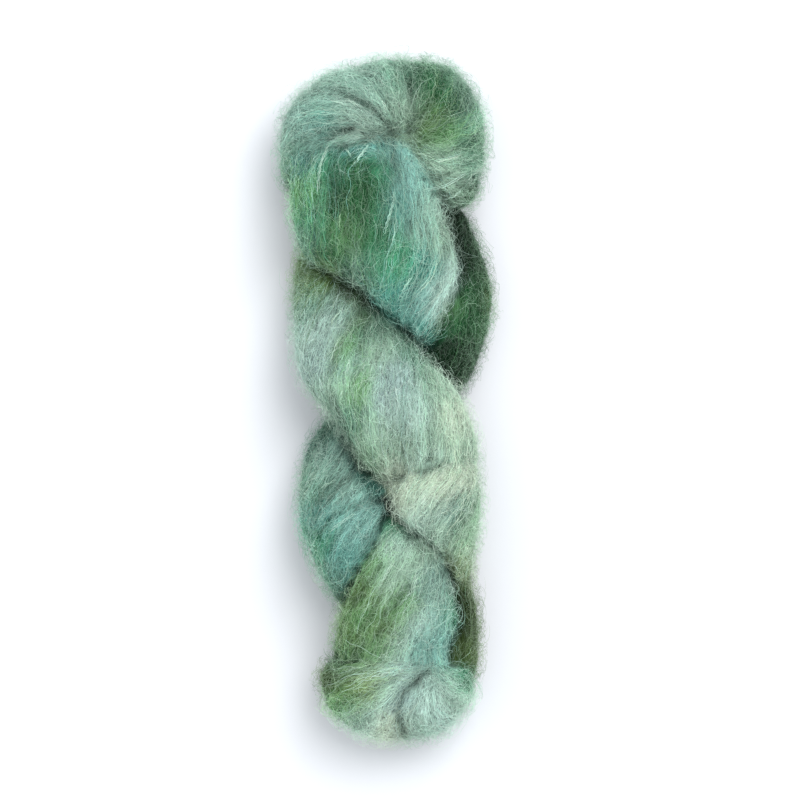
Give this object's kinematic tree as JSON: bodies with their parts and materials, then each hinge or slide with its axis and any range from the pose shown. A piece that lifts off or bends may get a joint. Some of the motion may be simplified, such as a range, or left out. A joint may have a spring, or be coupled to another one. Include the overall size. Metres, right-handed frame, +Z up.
{
  "type": "mohair yarn hank",
  "caption": "Twisted hank of brushed, hand-dyed mohair yarn lying flat, with a fanned knob at one end and a tucked knob at the other.",
  "frame": {"origin": "middle of the hank's bounding box, on the surface it rests on", "axes": "+Y along the hank towards its fanned end, +X across it to the right seen from above, +Z up"},
  "size_m": [0.0924, 0.2978, 0.0614],
  "materials": {
    "yarn": "brushed mohair, hand-dyed from cream and mint to teal and forest green, matte and fuzzy"
  },
  "bodies": {
    "root": {"hank": "yarn"}
  },
  "joints": []
}
